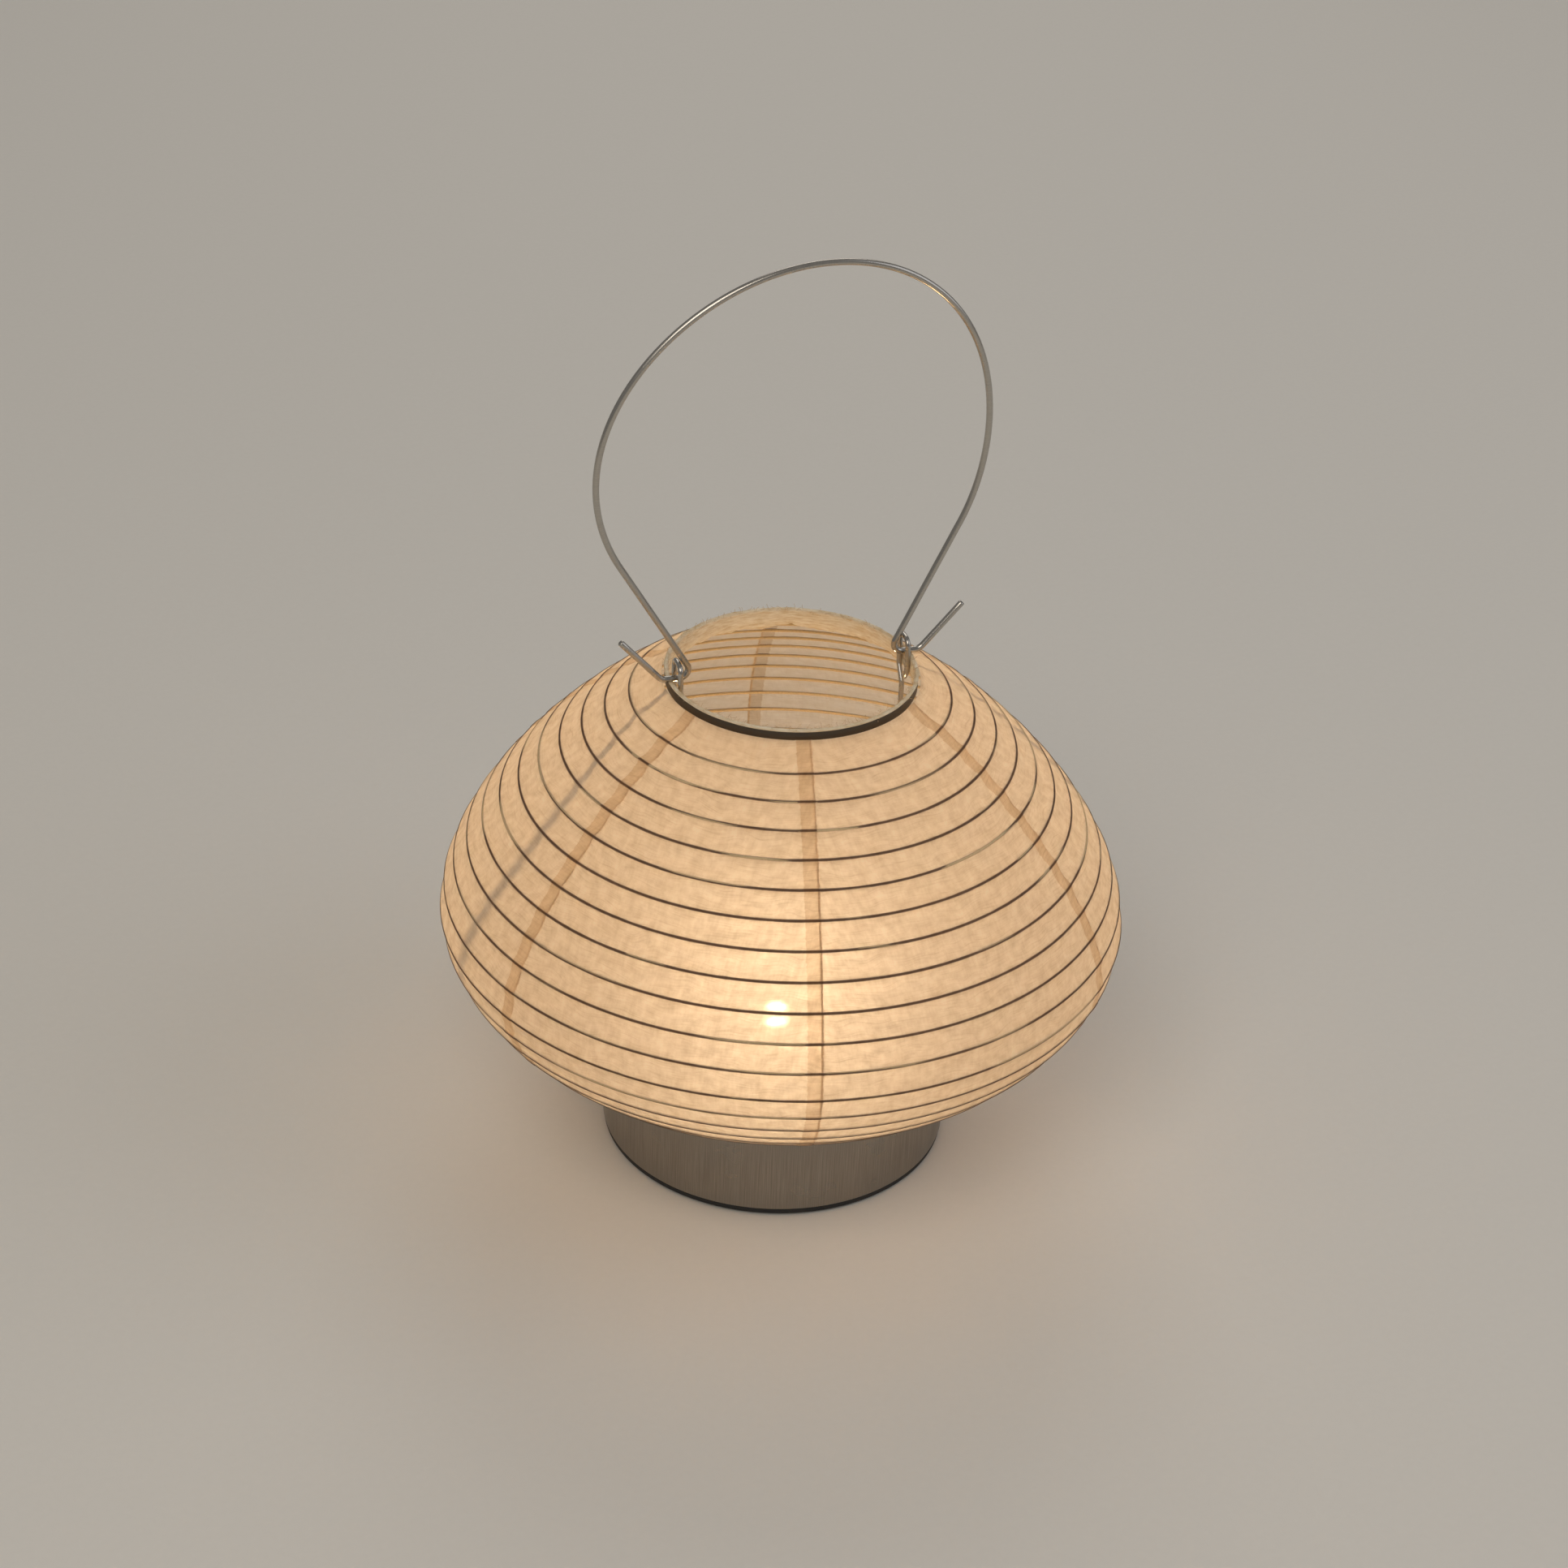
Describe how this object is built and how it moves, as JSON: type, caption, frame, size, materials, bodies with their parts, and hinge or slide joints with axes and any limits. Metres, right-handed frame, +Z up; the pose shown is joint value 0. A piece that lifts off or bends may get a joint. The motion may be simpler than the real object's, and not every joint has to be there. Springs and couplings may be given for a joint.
{
  "type": "accordion paper lantern",
  "caption": "Ribbed globe-shaped paper lantern on a round brushed-steel battery base, with a swinging wire bail; the shade folds down like an accordion.",
  "frame": {"origin": "on the floor under the middle of the base", "axes": "+Z up, +X along the bail's hinge line, -Y towards the viewer"},
  "size_m": [0.2402, 0.2412, 0.3326],
  "materials": {
    "paper": "fibrous mulberry-type paper, translucent, matte",
    "rib_wire": "iron wire hoops dipped in pale paint",
    "ring_steel": "dull band steel",
    "wire_steel": "drawn steel wire, satin",
    "base_steel": "drawn stainless steel, brushed upright",
    "black_abs": "moulded ABS, fine grain",
    "rubber": "matte",
    "zinc": "zinc-plated screw",
    "cell_wrap": "shrink sleeve, no markings",
    "contact_brass": "sprung strip",
    "board": "solder-masked laminate",
    "lens": "milky diffuser, lit",
    "lead_red": "insulated lead",
    "lead_black": "insulated lead",
    "white_plastic": "moulded"
  },
  "bodies": {
    "base": {"paper_gore_1": "paper", "paper_gore_2": "paper", "paper_gore_3": "paper", "paper_gore_4": "paper", "paper_gore_5": "paper", "paper_gore_6": "paper", "foot_ring": "ring_steel", "upright_left": "wire_steel", "upright_right": "wire_steel", "base_shell": "base_steel", "bottom_tray": "black_abs", "battery_door": "black_abs", "foot_pad_1": "rubber", "foot_pad_2": "rubber", "foot_pad_3": "rubber", "foot_pad_4": "rubber", "deck_screw_1": "zinc", "deck_screw_2": "zinc", "deck_screw_3": "zinc", "door_screw": "zinc", "grommet_left": "rubber", "grommet_right": "rubber", "diffuser_dome": "lens", "circuit_board": "board", "led_package": "lens", "battery_cell_1": "cell_wrap", "battery_cell_2": "cell_wrap", "battery_cell_3": "cell_wrap", "contact_positive": "contact_brass", "contact_bridge_front": "contact_brass", "contact_bridge_rear": "contact_brass", "contact_negative": "contact_brass", "switch_body": "black_abs", "lead_positive": "lead_red", "lead_negative": "lead_black"},
    "mouth_ring": {"mouth_ring": "ring_steel"},
    "bail": {"bail": "wire_steel"},
    "switch_slider": {"switch_slider": "white_plastic"},
    "rib_01": {"rib_01": "rib_wire"},
    "rib_02": {"rib_02": "rib_wire"},
    "rib_03": {"rib_03": "rib_wire"},
    "rib_04": {"rib_04": "rib_wire"},
    "rib_05": {"rib_05": "rib_wire"},
    "rib_06": {"rib_06": "rib_wire"},
    "rib_07": {"rib_07": "rib_wire"},
    "rib_08": {"rib_08": "rib_wire"},
    "rib_09": {"rib_09": "rib_wire"},
    "rib_10": {"rib_10": "rib_wire"},
    "rib_11": {"rib_11": "rib_wire"},
    "rib_12": {"rib_12": "rib_wire"},
    "rib_13": {"rib_13": "rib_wire"},
    "rib_14": {"rib_14": "rib_wire"},
    "rib_15": {"rib_15": "rib_wire"},
    "rib_16": {"rib_16": "rib_wire"},
    "rib_17": {"rib_17": "rib_wire"},
    "rib_18": {"rib_18": "rib_wire"},
    "rib_19": {"rib_19": "rib_wire"},
    "rib_20": {"rib_20": "rib_wire"},
    "rib_21": {"rib_21": "rib_wire"}
  },
  "joints": [
    {"name": "bail_swing", "type": "hinge", "parent": "base", "child": "bail", "pos_m": [0, 0, 0.1875], "axis": [1, 0, 0], "range_deg": [-90, 90]},
    {"name": "shade_collapse", "type": "slide", "parent": "base", "child": "mouth_ring", "axis": [0, 0, -1], "range_m": [0, 0.10673], "deforming": ["paper_gore_1", "paper_gore_2", "paper_gore_3", "paper_gore_4", "paper_gore_5", "paper_gore_6"]},
    {"name": "switch_slide", "type": "slide", "parent": "base", "child": "switch_slider", "axis": [1, 0, 0], "range_m": [0, 0.004]},
    {"name": "rib_01_slide", "type": "slide", "parent": "base", "child": "rib_01", "axis": [0, 0, -1], "range_m": [0, 0.10205]},
    {"name": "rib_02_slide", "type": "slide", "parent": "base", "child": "rib_02", "axis": [0, 0, -1], "range_m": [0, 0.09783]},
    {"name": "rib_03_slide", "type": "slide", "parent": "base", "child": "rib_03", "axis": [0, 0, -1], "range_m": [0, 0.09322]},
    {"name": "rib_04_slide", "type": "slide", "parent": "base", "child": "rib_04", "axis": [0, 0, -1], "range_m": [0, 0.08832]},
    {"name": "rib_05_slide", "type": "slide", "parent": "base", "child": "rib_05", "axis": [0, 0, -1], "range_m": [0, 0.08315]},
    {"name": "rib_06_slide", "type": "slide", "parent": "base", "child": "rib_06", "axis": [0, 0, -1], "range_m": [0, 0.07774]},
    {"name": "rib_07_slide", "type": "slide", "parent": "base", "child": "rib_07", "axis": [0, 0, -1], "range_m": [0, 0.07209]},
    {"name": "rib_08_slide", "type": "slide", "parent": "base", "child": "rib_08", "axis": [0, 0, -1], "range_m": [0, 0.06617]},
    {"name": "rib_09_slide", "type": "slide", "parent": "base", "child": "rib_09", "axis": [0, 0, -1], "range_m": [0, 0.05995]},
    {"name": "rib_10_slide", "type": "slide", "parent": "base", "child": "rib_10", "axis": [0, 0, -1], "range_m": [0, 0.05342]},
    {"name": "rib_11_slide", "type": "slide", "parent": "base", "child": "rib_11", "axis": [0, 0, -1], "range_m": [0, 0.04652]},
    {"name": "rib_12_slide", "type": "slide", "parent": "base", "child": "rib_12", "axis": [0, 0, -1], "range_m": [0, 0.03935]},
    {"name": "rib_13_slide", "type": "slide", "parent": "base", "child": "rib_13", "axis": [0, 0, -1], "range_m": [0, 0.03341]},
    {"name": "rib_14_slide", "type": "slide", "parent": "base", "child": "rib_14", "axis": [0, 0, -1], "range_m": [0, 0.02783]},
    {"name": "rib_15_slide", "type": "slide", "parent": "base", "child": "rib_15", "axis": [0, 0, -1], "range_m": [0, 0.02273]},
    {"name": "rib_16_slide", "type": "slide", "parent": "base", "child": "rib_16", "axis": [0, 0, -1], "range_m": [0, 0.01816]},
    {"name": "rib_17_slide", "type": "slide", "parent": "base", "child": "rib_17", "axis": [0, 0, -1], "range_m": [0, 0.01409]},
    {"name": "rib_18_slide", "type": "slide", "parent": "base", "child": "rib_18", "axis": [0, 0, -1], "range_m": [0, 0.01054]},
    {"name": "rib_19_slide", "type": "slide", "parent": "base", "child": "rib_19", "axis": [0, 0, -1], "range_m": [0, 0.0075]},
    {"name": "rib_20_slide", "type": "slide", "parent": "base", "child": "rib_20", "axis": [0, 0, -1], "range_m": [0, 0.00496]},
    {"name": "rib_21_slide", "type": "slide", "parent": "base", "child": "rib_21", "axis": [0, 0, -1], "range_m": [0, 0.0029]}
  ],
  "couplings": [
    {"joint": "rib_01_slide", "follows": "shade_collapse", "ratio": 0.95149},
    {"joint": "rib_02_slide", "follows": "shade_collapse", "ratio": 0.91195},
    {"joint": "rib_03_slide", "follows": "shade_collapse", "ratio": 0.86879},
    {"joint": "rib_04_slide", "follows": "shade_collapse", "ratio": 0.82284},
    {"joint": "rib_05_slide", "follows": "shade_collapse", "ratio": 0.77445},
    {"joint": "rib_06_slide", "follows": "shade_collapse", "ratio": 0.72376},
    {"joint": "rib_07_slide", "follows": "shade_collapse", "ratio": 0.67075},
    {"joint": "rib_08_slide", "follows": "shade_collapse", "ratio": 0.61527},
    {"joint": "rib_09_slide", "follows": "shade_collapse", "ratio": 0.55708},
    {"joint": "rib_10_slide", "follows": "shade_collapse", "ratio": 0.49582},
    {"joint": "rib_11_slide", "follows": "shade_collapse", "ratio": 0.43123},
    {"joint": "rib_12_slide", "follows": "shade_collapse", "ratio": 0.36402},
    {"joint": "rib_13_slide", "follows": "shade_collapse", "ratio": 0.30838},
    {"joint": "rib_14_slide", "follows": "shade_collapse", "ratio": 0.25606},
    {"joint": "rib_15_slide", "follows": "shade_collapse", "ratio": 0.20834},
    {"joint": "rib_16_slide", "follows": "shade_collapse", "ratio": 0.16543},
    {"joint": "rib_17_slide", "follows": "shade_collapse", "ratio": 0.12736},
    {"joint": "rib_18_slide", "follows": "shade_collapse", "ratio": 0.0941},
    {"joint": "rib_19_slide", "follows": "shade_collapse", "ratio": 0.0656},
    {"joint": "rib_20_slide", "follows": "shade_collapse", "ratio": 0.04177},
    {"joint": "rib_21_slide", "follows": "shade_collapse", "ratio": 0.02248}
  ]
}
